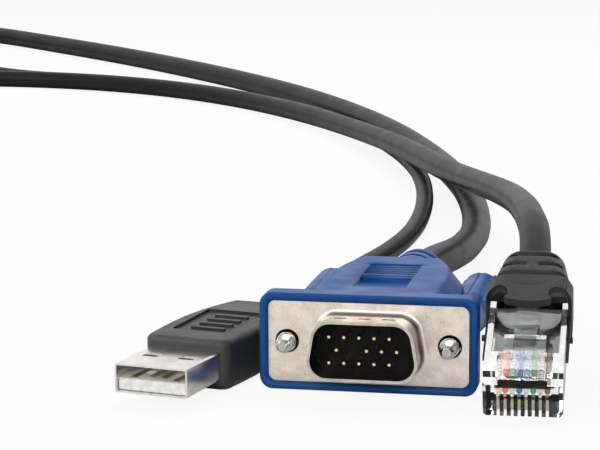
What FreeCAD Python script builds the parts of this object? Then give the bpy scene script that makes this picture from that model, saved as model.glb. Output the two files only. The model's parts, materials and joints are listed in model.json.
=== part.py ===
import FreeCAD, Part
import math
import os

V = FreeCAD.Vector

# A keyboard, video and mouse adapter cable: a moulded 15-pin video plug with two captive
# thumbscrews, a USB plug and an 8-way modular plug on three leads that meet in a moulded
# junction.  Millimetres, +Z up.  The video plug faces -Y; the origin is under its middle,
# on the surface that everything lies on.

# ---------------------------------------------------------------- driving dimensions
# Video plug, measured from its face plate (y = 0) and its own middle height
PLATE_W, PLATE_H, PLATE_T, PLATE_R = 30.81, 12.55, 0.8, 1.2
SCREW_SPACING = 24.99
SCREW_HOLE_CLEARANCE = 0.35 # round the shank, in the plate
SHELL_WIDE = 16.92          # inside, along the wide side
SHELL_H = 8.36              # inside
SHELL_SLOPE = 10.0          # degrees
SHELL_R = 2.6
SHELL_WALL = 0.4
SHELL_REACH = 5.9
SHELL_FLARE = 0.7
PIN_PITCH, PIN_ROW_PITCH, PIN_R = 2.29, 1.98, 0.4
PIN_REACH = 4.9
INSULATOR_DEPTH = 7.0
PIN_TAIL = INSULATOR_DEPTH + 2.6
INSULATOR_RIM = 1.2         # how far the rear block spreads past the shell opening
MISSING_PIN = ("mid", 2)    # the key position, left out on this plug

# Its moulded hood
FRAME_SIDE, FRAME_EDGE = 1.345, 1.275       # round the plate: at its ends, and above and below
FLANGE_W, FLANGE_H = PLATE_W + 2 * FRAME_SIDE, PLATE_H + 2 * FRAME_EDGE
FLANGE_DEPTH, FLANGE_R = 6.0, 2.0
PLATE_FIT = 0.05            # between the plate's edge and the frame
FLANGE_LIP = 0.5            # how far the frame stands in front of the plate
FLANGE_EDGE = 0.35
HOOD_END, HOOD_H = 35.0, 13.4
HOOD_BURIED, HOOD_WAIST_Y, HOOD_CURVE = 0.5, 22.0, 5.0
HOOD_PLAN = ((FLANGE_DEPTH - HOOD_BURIED, 9.3, 13.0), (HOOD_WAIST_Y, 9.1, 12.6),
             (HOOD_END - HOOD_CURVE, 7.8, 11.2), (HOOD_END, 5.9, 9.2))
                            # y, half width of the flat top, half width at the sides
HOOD_SIDE_H = 2.4           # half height of the upright sides, below the sloping shoulders
HOOD_TOP_R, HOOD_SIDE_R = 0.75, 1.6
HOOD_REAR_EDGE = 0.6
GRIP_W, GRIP_START, GRIP_STEP, GRIP_END = 8.4, 9.3, 18.0, 28.4
GRIP_DEPTH = 0.95
GRIP_SINK = 0.15
GRIP_RIBS = 6
GRIP_GROOVE_W, GRIP_GROOVE_D = 0.6, 0.4
RELIEF_LENGTH, RELIEF_R, RELIEF_TIP_R = 18.9, 5.6, 4.4
RELIEF_RINGS, RING_W, RING_D = 4, 1.1, 0.7

# Captive thumbscrews
THREAD_R, THREAD_REACH, THREAD_ROOT = 1.42, 4.0, 0.7    # both in front of the face plate
POINT_R, POINT_L = 0.92, 0.8
SHANK_R = 1.5
SHANK_CLEARANCE = 0.08
KNOB_R, KNOB_NECK_R, KNOB_FRONT, KNOB_END = 3.45, 2.8, 12.0, 41.0
KNOB_FLUTES, FLUTE_R, FLUTE_DEPTH = 8, 0.5, 0.2
KNOB_CLEARANCE = 0.5        # to the scallop in the hood
ROD_IN_KNOB = 24.0

# USB plug, measured from the mouth of its shell
USB_W, USB_H, USB_WALL, USB_REACH, USB_BURIED = 12.0, 4.5, 0.3, 12.0, 6.5
USB_CORNER_R = 0.5
USB_SEAM = 0.12
USB_FIT = 0.05
USB_WINDOW = (2.5, 2.0)
USB_WINDOW_X, USB_WINDOW_Y = 3.0, 5.6
USB_TONGUE_H = 1.84
USB_TONGUE_SETBACK = 0.4
USB_CONTACT_X = (-3.5, -1.0, 1.0, 3.5)
USB_CONTACT_W, USB_CONTACT_T, USB_CONTACT_SUNK = 1.1, 0.25, 0.15
GRIP_WALL = ((0.0, 1.1), (6.0, 1.4), (14.0, 1.5), (22.0, 0.5), (29.0, -1.5))
                            # y behind the shell's reach, and how far past the shell's side
USB_GRIP_COVER = 1.65       # above and below the shell
USB_GRIP_H, USB_GRIP_EDGE, USB_GRIP_CORNER = USB_H + 2 * USB_GRIP_COVER, 1.0, 2.0
USB_PANEL = (4.9, 5.4, 5.6, 20.5, 0.45)   # half width front and rear, start, end, depth
USB_PANEL_BARS, USB_BAR_LENGTH, USB_BAR_W = 4, 5.6, 0.9
USB_RELIEF_LENGTH, USB_RELIEF_R, USB_RELIEF_TIP_R = 9.5, 3.4, 2.7

# Modular plug, measured from the lower front edge of its nose, latch side up
MOD_W, MOD_L, MOD_H = 11.68, 21.46, 6.6
MOD_PITCH, MOD_WAYS = 1.02, 8
MOD_SLOT_W, MOD_BLADE_T, MOD_BLADE_SETBACK = 0.46, 0.36, 0.6
MOD_SLOT_L, MOD_BLADE_L = 6.6, 5.4
WIRE_R, WIRE_Z = 0.45, 3.95
WIRE_FRONT, WIRE_SPREAD, WIRE_GATHER, SHEATH_START = 1.2, 7.6, 9.8, 11.0
WIRE_CLOSE, WIRE_STAGGER = 0.8, 0.36
MOD_WALL, MOD_CAVITY_FRONT = 0.84, 7.4
SHEATH_CLEARANCE = 0.05     # round the main lead, inside the plug
LATCH_BASE_W, LATCH_W, LATCH_T = 6.2, 3.3, 0.95
LATCH_SHOULDER, LATCH_END = 8.6, 19.4
LATCH_ROOT_Z, LATCH_SHOULDER_Z, LATCH_END_Z = MOD_H + 0.3, MOD_H + 1.9, MOD_H + 2.8

# Its snagless boot, in the plug's own frame
BOOT_FIT, BOOT_WALL = 0.05, 0.56
BOOT_COVER, BOOT_UNDER = 1.2, 0.9           # above and below the plug
BOOT_OVERLAP, BOOT_SLEEVE, BOOT_RELIEF = 1.66, 5.6, 8.6
BOOT_START = MOD_L - BOOT_OVERLAP
BOOT_SHOULDER = BOOT_START + BOOT_SLEEVE
BOOT_END = BOOT_SHOULDER + BOOT_RELIEF
BOOT_W, BOOT_H, BOOT_R = MOD_W + 2 * (BOOT_FIT + BOOT_WALL), BOOT_UNDER + MOD_H + BOOT_COVER, 1.6
BOOT_NECK_IN, BOOT_TIP_IN = 0.55, 1.65      # how far each side draws in towards the end
BOOT_TIP_H, BOOT_TIP_RISE, BOOT_END_EDGE = 7.8, 0.1, 1.3
BOOT_SLOT_W, BOOT_SLOT_PITCH, BOOT_SLOT_FIRST, BOOT_SLOT_BRIDGE = 1.15, 2.9, 0.9, 1.8
BOOT_AXIS_Z = MOD_H / 2
LATCH_CLEARANCE, LIP_T, LIP_HALF = 0.5, 1.2, 3.7
LIP_TOP = LATCH_END_Z + LATCH_CLEARANCE + LIP_T
LIP_FRONT, GUARD_END = BOOT_START - 6.0, BOOT_START + 1.7
GUARD_FOOT, GUARD_R = 3.4, 3.2
WAIST_BACK, WAIST_HALF, WAIST_R = 2.2, 3.0, 2.2   # the round bite beside the lip
LIP_BOW_R, CRESCENT_R, CRESCENT_DEPTH = 9.0, 6.0, 2.0
ARM_FRONT, ARM_T, ARM_Z, NIB_Y, NIB_HALF, NIB_T = 7.6, 0.45, (4.3, 4.9), 13.0, 0.4, 0.9

# Leads
ARC_SHARE = 0.45
VIDEO_LEAD_D, USB_LEAD_D, MAIN_LEAD_D = 5.9, 3.8, 5.1

# Where the plugs lie
VIDEO_FACE_Y = -(HOOD_END + RELIEF_LENGTH - SHELL_REACH) / 2
VIDEO_AXIS_Z = FLANGE_H / 2
USB_BESIDE, MOD_BESIDE = 7.65, 1.96         # from the video plug's frame to each plug's side
USB_MOUTH = (-(FLANGE_W / 2 + USB_BESIDE + USB_W / 2), -37.9)
MOD_NOSE = (FLANGE_W / 2 + MOD_BESIDE + MOD_W / 2, -34.0)
USB_TURN, MOD_TURN, MOD_TILT = -11.5, 2.6, 22.0

# Routes of the leads
VIDEO_ROUTE = [
    (0.6, 37.5, 7.3), (2.5, 47.0, 6.3), (3.6, 59.0, 5.0), (3.5, 74.0, 3.9), (2.3, 93.0, 3.2),
    (-0.4, 116.0, 2.95), (-5.3, 142.0, 2.95), (-12.8, 170.0, 2.95), (-22.6, 199.5, 2.95),
    (-34.5, 230.0, 2.95), (-50.5, 263.0, 2.95), (-70.5, 297.5, 2.95), (-94.0, 330.5, 2.95),
    (-121.5, 364.0, 2.95), (-153.0, 398.5, 2.95), (-188.0, 432.5, 2.95), (-222.0, 464.5, 2.95),
    (-239.5, 470.5, 2.95), (-257.5, 467.5, 2.95), (-271.5, 456.0, 3.2), (-279.0, 440.0, 4.0),
]
USB_ROUTE = [
    (-18.9, 19.5, 3.7), (-17.6, 31.0, 3.0), (-17.0, 45.0, 2.2), (-15.8, 60.0, 1.95),
    (-12.9, 76.0, 1.95), (-11.4, 94.0, 1.95), (-11.9, 114.0, 1.95), (-14.2, 137.0, 1.95),
    (-18.1, 161.0, 1.95), (-23.8, 185.0, 1.95), (-33.1, 212.2, 1.95), (-45.7, 241.8, 1.95),
    (-62.3, 271.2, 1.95), (-83.3, 296.4, 1.95), (-107.4, 317.4, 1.95), (-134.2, 332.6, 1.95),
    (-160.0, 341.8, 1.95), (-181.0, 351.5, 1.95), (-196.5, 367.0, 1.95), (-205.5, 387.0, 1.95),
    (-211.6, 409.0, 1.95), (-215.5, 431.0, 1.95), (-225.5, 446.0, 1.95),
    (-239.5, 453.0, 2.1), (-252.5, 451.5, 2.6), (-263.5, 444.0, 3.4), (-269.5, 433.5, 4.2),
]
MAIN_ROUTE = [
    (22.5, 6.5, 19.2), (19.2, 26.5, 19.4), (14.9, 51.0, 17.2), (9.6, 76.0, 14.4),
    (3.8, 98.0, 12.0), (-2.7, 118.0, 10.1), (-9.6, 137.5, 8.6), (-16.8, 158.5, 7.5),
    (-25.8, 182.5, 6.5), (-36.8, 210.5, 4.9), (-50.0, 239.0, 3.5), (-66.8, 267.5, 2.75),
    (-87.0, 292.3, 2.6), (-110.8, 313.0, 2.6), (-136.8, 327.5, 2.6), (-164.5, 334.5, 2.6),
    (-192.0, 334.0, 2.6), (-215.0, 329.5, 2.7), (-230.5, 325.6, 2.9),
]

TAIL_ROUTE = [(-275.0, 383.0, 5.2), (-275.05, 369.0, 7.4)]

# The wound part of the main lead, its tie and the junction
COIL_CENTRE = (-243.5, 356.5)
COIL_OUT_R, COIL_IN_R = 31.5, 20.4      # middle of the outermost and innermost turns
COIL_LAYERS = 2
TIE_T, TIE_W = 0.6, 9.0
JUNCTION_TOP, JUNCTION_BODY = 424.0, 18.0
JUNCTION_W, JUNCTION_TAIL_W, JUNCTION_H = 18.0, 10.0, 8.8
BRANCH_SPACING = 8.6
NOSE_LENGTH, NOSE_WALL = 6.0, 0.9


# ---------------------------------------------------------------- helpers
def rounded_outline(corners, radii):
    """A closed wire through 3-D corners, each rounded by a tangent arc of its radius."""
    edges, joints = [], []
    count = len(corners)
    for i, corner in enumerate(corners):
        before = (corners[i - 1] - corner).normalize()
        after = (corners[(i + 1) % count] - corner).normalize()
        half = before.getAngle(after) / 2
        reach = radii[i] / math.tan(half)
        middle = (before + after).normalize() * (radii[i] / math.sin(half) - radii[i])
        joints.append((corner + before * reach, corner + middle, corner + after * reach))
    for i, (start, middle, end) in enumerate(joints):
        edges.append(Part.Arc(start, middle, end).toShape())
        edges.append(Part.LineSegment(end, joints[(i + 1) % count][0]).toShape())
    return Part.Wire(edges)


def rect_outline(width, height, radius, y, x=0.0, z=0.0):
    """A rounded rectangle in an XZ plane, about the point (x, z)."""
    w, h = width / 2, height / 2
    corners = [V(x - w, y, z - h), V(x + w, y, z - h), V(x + w, y, z + h), V(x - w, y, z + h)]
    return rounded_outline(corners, [radius] * 4)


def prism(outline, depth):
    """The solid that an XZ outline sweeps along +Y."""
    return Part.Face(outline).extrude(V(0, depth, 0))


def block(x0, x1, y0, y1, z0, z1):
    return Part.makeBox(x1 - x0, y1 - y0, z1 - z0, V(x0, y0, z0))


def rod(radius, y0, y1, x=0.0, z=0.0):
    return Part.makeCylinder(radius, y1 - y0, V(x, y0, z), V(0, 1, 0))


def turned(profile, x=0.0, z=0.0):
    """Revolves a list of (radius, y) points about the line x, z along Y."""
    points = [V(x + r, y, z) for r, y in profile]
    wire = Part.makePolygon(points + [points[0]])
    return Part.Face(wire).revolve(V(x, 0, z), V(0, 1, 0), 360)


def side_cut(profile, x0, x1):
    """Extrudes a closed (y, z) polygon from x0 to x1."""
    points = [V(x0, y, z) for y, z in profile]
    wire = Part.makePolygon(points + [points[0]])
    return Part.Face(wire).extrude(V(x1 - x0, 0, 0))


def edges_at(shape, test):
    return [edge for edge in shape.Edges if test(edge.BoundBox)]


def relief_profile(start, length, root_r, tip_r, rings, ring_w, ring_d):
    """A taper with ring grooves, as (radius, y) points from the axis out and back."""
    pitch = length / (rings + 0.5)
    profile = [(0, start), (root_r, start)]
    for i in range(rings):
        y = start + pitch * (i + 0.75)
        r = root_r + (tip_r - root_r) * (y - start) / length
        profile += [(r, y - ring_w / 2), (r - ring_d, y - ring_w / 2)]
        profile += [(r - ring_d, y + ring_w / 2), (r, y + ring_w / 2)]
    return profile + [(tip_r, start + length), (0, start + length)]


def d_outline(grow, y):
    """The plug shell's D, wide side down, grown outwards from its inside size."""
    slope = math.tan(math.radians(SHELL_SLOPE))
    middle = SHELL_WIDE / 2 - SHELL_H / 2 * slope + grow / math.cos(math.radians(SHELL_SLOPE))
    half_h = SHELL_H / 2 + grow
    low, high = middle + half_h * slope, middle - half_h * slope
    corners = [V(-low, y, -half_h), V(low, y, -half_h), V(high, y, half_h), V(-high, y, half_h)]
    return rounded_outline(corners, [SHELL_R + grow] * 4)


def swept(points, diameter):
    """A round section along straight runs joined by tangent arcs: its solid, its length and
    the tightest arc's radius."""
    points = [V(*p) for p in points]
    edges, start, tightest = [], points[0], math.inf
    for before, corner, after in zip(points, points[1:], points[2:]):
        run_in, run_out = corner - before, after - corner
        half = run_in.getAngle(run_out) / 2
        reach = ARC_SHARE * min(run_in.Length, run_out.Length)
        radius = reach / math.tan(half)
        tightest = min(tightest, radius)
        into, out = (before - corner).normalize(), (after - corner).normalize()
        bulge = (into + out).normalize() * (radius / math.cos(half) - radius)
        arc = Part.Arc(corner + into * reach, corner + bulge, corner + out * reach)
        edges += [Part.LineSegment(start, corner + into * reach).toShape(), arc.toShape()]
        start = corner + out * reach
    edges.append(Part.LineSegment(start, points[-1]).toShape())
    path = Part.Wire(edges)
    ring = Part.Wire(Part.makeCircle(diameter / 2, points[0], points[1] - points[0]))
    return path.makePipeShell([ring], True, False), path.Length, tightest


def lead(name, points, diameter):
    solid, length, tightest = swept(points, diameter)
    share = solid.Volume / (math.pi * diameter ** 2 / 4 * length)
    print(f"{name}: {length:.1f} mm long, tightest radius {tightest:.1f} mm, volume {share:.4f}")
    return solid


# ---------------------------------------------------------------- video plug
def vga_front_shell():
    """The stamped face plate with its D-shaped shell, drawn from one piece."""
    plate = prism(rect_outline(PLATE_W, PLATE_H, PLATE_R, 0), PLATE_T)
    wall = prism(d_outline(SHELL_WALL, -SHELL_REACH), SHELL_REACH)
    shell = plate.fuse(wall).removeSplitter()
    root = edges_at(shell, lambda b: abs(b.YMin) < 1e-6 and abs(b.YMax) < 1e-6
                    and max(abs(b.XMin), abs(b.XMax)) < SHELL_WIDE / 2 + 2
                    and max(abs(b.ZMin), abs(b.ZMax)) < SHELL_H / 2 + 1)
    shell = shell.makeFillet(SHELL_FLARE, root)
    shell = shell.cut(prism(d_outline(0, -SHELL_REACH - 1), SHELL_REACH + PLATE_T + 2))
    for side in (-1, 1):
        shell = shell.cut(rod(SHANK_R + SCREW_HOLE_CLEARANCE, -1, PLATE_T + 1, side * SCREW_SPACING / 2))
    dimple_w, dimple_l, dimple_d, dimple_y = 0.8, 2.0, 0.28, -3.3
    top = SHELL_H / 2 + SHELL_WALL
    for step in (-1, 0, 1):
        middle = step * 3.7
        slot = block(middle - dimple_l / 2, middle + dimple_l / 2, dimple_y - dimple_w / 2,
                     dimple_y + dimple_w / 2, top - dimple_d, top + 1)
        ends = [e for e in slot.Edges if abs(e.BoundBox.ZLength - 1 - dimple_d) < 1e-6]
        shell = shell.cut(slot.makeFillet(dimple_w * 0.45, ends))
    return shell


def pin_places():
    """Each contact's name and place: three rows of five, the middle row half a pitch over."""
    rows = (("top", 1, -0.25), ("mid", 0, 0.25), ("low", -1, -0.25))
    for row, up, shift in rows:
        for column in range(5):
            if (row, column + 1) == MISSING_PIN:
                continue
            yield f"vga_pin_{row}_{column + 1}", (column - 2 + shift) * PIN_PITCH, up * PIN_ROW_PITCH


def vga_pin(x, z):
    tip = PIN_R * 0.55
    profile = [(0, -PIN_REACH), (tip, -PIN_REACH), (PIN_R, -PIN_REACH + PIN_R), (PIN_R, PIN_TAIL),
               (0, PIN_TAIL)]
    return turned(profile, x, z)


def vga_insulator():
    front = prism(d_outline(-0.05, 0), INSULATOR_DEPTH)
    rear = prism(d_outline(INSULATOR_RIM, PLATE_T), INSULATOR_DEPTH - PLATE_T)
    body = front.fuse(rear).removeSplitter()
    for _, x, z in pin_places():
        body = body.cut(rod(PIN_R, -1, INSULATOR_DEPTH + 1, x, z))
    return body


def grip_cut():
    """A thumb grip in the top of the hood: a ramp down to a step, then fine ribs."""
    top = HOOD_H / 2
    over = top + 1
    half = GRIP_W / 2
    ramp = side_cut([(GRIP_START, over), (GRIP_START, top), (GRIP_STEP, top - GRIP_DEPTH),
                     (GRIP_STEP, over)], -half, half)
    cut = ramp.fuse(block(-half, half, GRIP_STEP, GRIP_END, top - GRIP_SINK, over))
    pitch = (GRIP_END - GRIP_STEP) / GRIP_RIBS
    for i in range(1, GRIP_RIBS + 1):
        end = GRIP_STEP + pitch * i
        groove = block(-half, half, end - GRIP_GROOVE_W, end,
                       top - GRIP_SINK - GRIP_GROOVE_D, over)
        cut = cut.fuse(groove)
    return cut.removeSplitter()


def hood_section(y, top_half, side_half):
    """Eight-sided section of the hood: flat top and bottom, sloping shoulders, upright sides."""
    half = HOOD_H / 2
    right = [(top_half, -half), (side_half, -HOOD_SIDE_H), (side_half, HOOD_SIDE_H), (top_half, half)]
    corners = [V(x, y, z) for x, z in right] + [V(-x, y, z) for x, z in reversed(right)]
    return rounded_outline(corners, [HOOD_TOP_R, HOOD_SIDE_R, HOOD_SIDE_R, HOOD_TOP_R] * 2)


def vga_hood():
    """The one-piece overmoulding: front frame, body with thumb grips, and strain relief."""
    front = FLANGE_DEPTH + FLANGE_LIP
    flange = prism(rect_outline(FLANGE_W, FLANGE_H, FLANGE_R, -FLANGE_LIP), front)
    rim = edges_at(flange, lambda b: b.YMax < -FLANGE_LIP + 1e-6)
    flange = flange.makeFillet(FLANGE_EDGE, rim)
    body = Part.makeLoft([hood_section(*place) for place in HOOD_PLAN], True)
    rear = edges_at(body, lambda b: b.YMin > HOOD_END - 1e-6)
    body = body.makeFillet(HOOD_REAR_EDGE, rear)
    scallop_r = KNOB_R + KNOB_CLEARANCE
    for side in (-1, 1):
        x = side * SCREW_SPACING / 2
        body = body.cut(rod(scallop_r, KNOB_FRONT - KNOB_CLEARANCE, HOOD_END + 5, x))
    for flip in (1, -1):
        grip = grip_cut()
        if flip < 0:
            grip = grip.mirror(V(0, 0, 0), V(0, 0, 1))
        body = body.cut(grip)
    relief = turned(relief_profile(HOOD_END - 1, RELIEF_LENGTH + 1, RELIEF_R, RELIEF_TIP_R,
                                   RELIEF_RINGS, RING_W, RING_D))
    hood = flange.fuse(body).fuse(relief).removeSplitter()
    seat = rect_outline(PLATE_W + 2 * PLATE_FIT, PLATE_H + 2 * PLATE_FIT, PLATE_R, -2)
    hood = hood.cut(prism(seat, 2 + PLATE_T))
    hood = hood.cut(prism(d_outline(INSULATOR_RIM, 0), INSULATOR_DEPTH))
    tails = rect_outline(4.5 * PIN_PITCH + 3, 2 * PIN_ROW_PITCH + 3, 1.0, 0)
    hood = hood.cut(prism(tails, PIN_TAIL + 0.6))
    for side in (-1, 1):
        bore = rod(SHANK_R + SHANK_CLEARANCE, -1, KNOB_FRONT + 1, side * SCREW_SPACING / 2)
        hood = hood.cut(bore)
    return hood


def thumbscrew_rod(x):
    start = POINT_L - THREAD_REACH
    return turned([(0, -THREAD_REACH), (POINT_R, -THREAD_REACH), (POINT_R, start),
                   (THREAD_R, start + THREAD_R - POINT_R), (THREAD_R, -THREAD_ROOT),
                   (SHANK_R, -THREAD_ROOT), (SHANK_R, KNOB_FRONT),
                   (THREAD_R, KNOB_FRONT), (THREAD_R, KNOB_FRONT + ROD_IN_KNOB),
                   (0, KNOB_FRONT + ROD_IN_KNOB)], x)


def thumbscrew_knob(x):
    """A moulded knob: smooth neck, flared and fluted grip, rounded rear end."""
    flare, edge = 9.0, 1.2
    knob = turned([(0, KNOB_FRONT), (KNOB_NECK_R - 0.4, KNOB_FRONT),
                   (KNOB_NECK_R, KNOB_FRONT + 0.5), (KNOB_NECK_R, KNOB_FRONT + flare),
                   (KNOB_R, KNOB_FRONT + flare + 3), (KNOB_R, KNOB_END - edge),
                   (KNOB_R - 0.35, KNOB_END - 0.35), (KNOB_R - edge, KNOB_END), (0, KNOB_END)], x)
    for i in range(KNOB_FLUTES):
        turn = 2 * math.pi * i / KNOB_FLUTES
        reach = KNOB_R + FLUTE_R - FLUTE_DEPTH
        knob = knob.cut(rod(FLUTE_R, KNOB_FRONT + flare + 2, KNOB_END + 1,
                            x + reach * math.cos(turn), reach * math.sin(turn)))
    return knob.cut(rod(THREAD_R, KNOB_FRONT - 1, KNOB_FRONT + ROD_IN_KNOB, x))


# ---------------------------------------------------------------- USB plug
def usb_shell():
    depth = USB_REACH + USB_BURIED
    shell = prism(rect_outline(USB_W, USB_H, USB_CORNER_R, 0), depth)
    hollow = rect_outline(USB_W - 2 * USB_WALL, USB_H - 2 * USB_WALL, USB_CORNER_R / 2, -1)
    shell = shell.cut(prism(hollow, depth + 2))
    wide, deep = USB_WINDOW
    for side in (-1, 1):
        x = side * USB_WINDOW_X
        shell = shell.cut(block(x - wide / 2, x + wide / 2, USB_WINDOW_Y, USB_WINDOW_Y + deep,
                                -USB_H, USB_H))
    return shell.cut(block(-USB_SEAM / 2, USB_SEAM / 2, -1, depth + 1, -USB_H, 0))


def usb_tongue_top():
    return -USB_H / 2 + USB_WALL + USB_TONGUE_H


def usb_contact_span(x):
    """The outer pair starts a millimetre nearer the mouth than the inner pair."""
    start = 1.3 if abs(x) > 2 else 2.3
    return start, USB_REACH - 0.2


def usb_contact(x):
    start, end = usb_contact_span(x)
    low = usb_tongue_top() - USB_CONTACT_SUNK
    strip = block(x - USB_CONTACT_W / 2, x + USB_CONTACT_W / 2, start, end, low,
                  low + USB_CONTACT_T)
    nose = edges_at(strip, lambda b: b.YMax < start + 1e-6 and b.ZMin > low + 1e-6)
    return strip.makeChamfer(USB_CONTACT_T * 0.5, nose)


def usb_tongue():
    half = USB_W / 2 - USB_WALL - USB_FIT
    low, top = -USB_H / 2 + USB_WALL, usb_tongue_top()
    tongue = block(-half, half, USB_TONGUE_SETBACK, USB_REACH, low, top)
    lead = edges_at(tongue, lambda b: b.YMax < USB_TONGUE_SETBACK + 1e-6)
    tongue = tongue.makeChamfer(0.25, lead)
    base = block(-half, half, USB_REACH - 0.2, USB_REACH + USB_BURIED, low, -low)
    inside = rect_outline(2 * half, -2 * low - 2 * USB_FIT, USB_CORNER_R / 2, 0)
    tongue = tongue.fuse(base).common(prism(inside, USB_REACH + USB_BURIED)).removeSplitter()
    for x in USB_CONTACT_X:
        start, end = usb_contact_span(x)
        tongue = tongue.cut(block(x - USB_CONTACT_W / 2, x + USB_CONTACT_W / 2, start, end,
                                  top - USB_CONTACT_SUNK, top + USB_CONTACT_T))
    return tongue


def usb_overmold():
    """The moulded grip: it swells in plan, then narrows into a ringed strain relief."""
    low, high = -USB_GRIP_H / 2, USB_GRIP_H / 2
    grip_half = [(y, USB_W / 2 + wall) for y, wall in GRIP_WALL]
    sides = []
    for side in (-1, 1):
        curve = Part.BSplineCurve()
        curve.interpolate([V(side * w, USB_REACH + y, low) for y, w in grip_half])
        sides.append(curve.toShape())
    ends = []
    for y, w in (grip_half[0], grip_half[-1]):
        ends.append(Part.LineSegment(V(-w, USB_REACH + y, low), V(w, USB_REACH + y, low)))
    outline = Part.Wire([ends[0].toShape(), sides[1], ends[1].toShape(), sides[0]])
    grip = Part.Face(outline).extrude(V(0, 0, USB_GRIP_H))
    corners = edges_at(grip, lambda b: b.ZLength > USB_GRIP_H - 1e-6 and b.YMax < USB_REACH + 1)
    grip = grip.makeFillet(USB_GRIP_CORNER, corners)
    rims = edges_at(grip, lambda b: b.ZLength < 1e-6)
    grip = grip.makeFillet(USB_GRIP_EDGE, rims)
    front_w, rear_w, start, end, depth = USB_PANEL
    floor = high - depth
    corners = [V(-front_w, USB_REACH + start, floor), V(front_w, USB_REACH + start, floor),
               V(rear_w, USB_REACH + end, floor), V(-rear_w, USB_REACH + end, floor)]
    panel = Part.Face(rounded_outline(corners, [0.6] * 4)).extrude(V(0, 0, depth + 1))
    gap = (end - start) / (USB_PANEL_BARS + 1)
    for i in range(1, USB_PANEL_BARS + 1):
        y = USB_REACH + start + gap * i
        panel = panel.cut(block(-USB_BAR_LENGTH / 2, USB_BAR_LENGTH / 2, y - USB_BAR_W / 2,
                                y + USB_BAR_W / 2, floor, floor + depth * 0.85))
    grip = grip.cut(panel)
    relief_start = USB_REACH + GRIP_WALL[-1][0]
    relief = turned(relief_profile(relief_start - 0.5, USB_RELIEF_LENGTH + 0.5, USB_RELIEF_R,
                                   USB_RELIEF_TIP_R, 3, 0.9, 0.5))
    grip = grip.fuse(relief).removeSplitter()
    return grip.cut(prism(rect_outline(USB_W, USB_H, USB_CORNER_R, 0), USB_REACH + USB_BURIED))


# ---------------------------------------------------------------- modular plug
def way_x(way):
    return (way - (MOD_WAYS - 1) / 2) * MOD_PITCH


def modular_body():
    """The clear plug: hollow shell, contact slots, and the latch moulded in one piece."""
    half = MOD_W / 2
    body = block(-half, half, 0, MOD_L, 0, MOD_H)
    nose = edges_at(body, lambda b: b.YMax < 1e-6 and b.ZLength > 1)
    body = body.makeChamfer(0.5, nose)
    latch_wide = side_cut([
        (0.3, MOD_H - 0.5), (0.3, LATCH_ROOT_Z), (LATCH_SHOULDER, LATCH_SHOULDER_Z),
        (LATCH_SHOULDER, LATCH_SHOULDER_Z - LATCH_T - 0.1), (2.2, MOD_H), (2.0, MOD_H - 0.5),
    ], -LATCH_BASE_W / 2, LATCH_BASE_W / 2)
    latch_arm = side_cut([
        (LATCH_SHOULDER - 2.5, LATCH_SHOULDER_Z - 0.9), (LATCH_SHOULDER, LATCH_SHOULDER_Z - 0.25),
        (LATCH_END - 0.4, LATCH_END_Z), (LATCH_END, LATCH_END_Z - 0.3),
        (LATCH_END, LATCH_END_Z - LATCH_T), (LATCH_SHOULDER, LATCH_SHOULDER_Z - LATCH_T - 0.1),
        (LATCH_SHOULDER - 2.5, LATCH_SHOULDER_Z - LATCH_T - 0.5),
    ], -LATCH_W / 2, LATCH_W / 2)
    step_w, step_l, step_h = half - LATCH_BASE_W / 2 - 0.5, 1.9, 1.1
    for side in (-1, 1):
        x = side * half
        body = body.cut(block(min(x, x - side * step_w), max(x, x - side * step_w), -1, step_l,
                              MOD_H - step_h, MOD_H + 1))
    body = body.fuse(latch_wide).fuse(latch_arm).removeSplitter()
    wide, tall = half - MOD_WALL, MAIN_LEAD_D / 2 + SHEATH_CLEARANCE
    cavity = block(-wide, wide, MOD_CAVITY_FRONT, MOD_L + 1, BOOT_AXIS_Z - tall,
                   BOOT_AXIS_Z + tall)
    channel_w = (MOD_WAYS - 1) * MOD_PITCH / 2 + WIRE_R + 0.1
    channel = block(-channel_w, channel_w, WIRE_FRONT - 0.2, MOD_CAVITY_FRONT + 0.5,
                    WIRE_Z - WIRE_R - 0.05, WIRE_Z + WIRE_R + 0.1)
    body = body.cut(cavity.fuse(channel))
    for way in range(MOD_WAYS):
        x = way_x(way)
        body = body.cut(block(x - MOD_SLOT_W / 2, x + MOD_SLOT_W / 2, -1, MOD_SLOT_L, -1,
                              WIRE_Z - WIRE_R))
    return body


def modular_contact(way):
    """A gold blade in its slot, its two teeth just under the wire."""
    start, end = MOD_BLADE_SETBACK, MOD_BLADE_SETBACK + MOD_BLADE_L
    tooth = WIRE_Z - WIRE_R - 0.05
    profile = [(start + 0.5, 0.35), (start, 0.85), (start, 2.6), (start + 0.9, 2.6),
               (start + 1.3, tooth), (start + 1.7, 2.6), (end - 1.7, 2.6), (end - 1.3, tooth),
               (end - 0.9, 2.6), (end, 2.6), (end, 0.35)]
    x = way_x(way)
    return side_cut(profile, x - MOD_BLADE_T / 2, x + MOD_BLADE_T / 2)


def modular_wire(way):
    """One insulated core, from the blades back into the end of the sheath."""
    x = way_x(way)
    lift = WIRE_STAGGER if way % 2 else -WIRE_STAGGER
    route = [(x, WIRE_FRONT, WIRE_Z), (x * 0.99, WIRE_SPREAD, WIRE_Z - 0.02),
             (x * WIRE_CLOSE, WIRE_GATHER, BOOT_AXIS_Z + lift),
             (x * WIRE_CLOSE * 0.99, SHEATH_START, BOOT_AXIS_Z + lift)]
    return swept(route, 2 * WIRE_R)[0]


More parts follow.
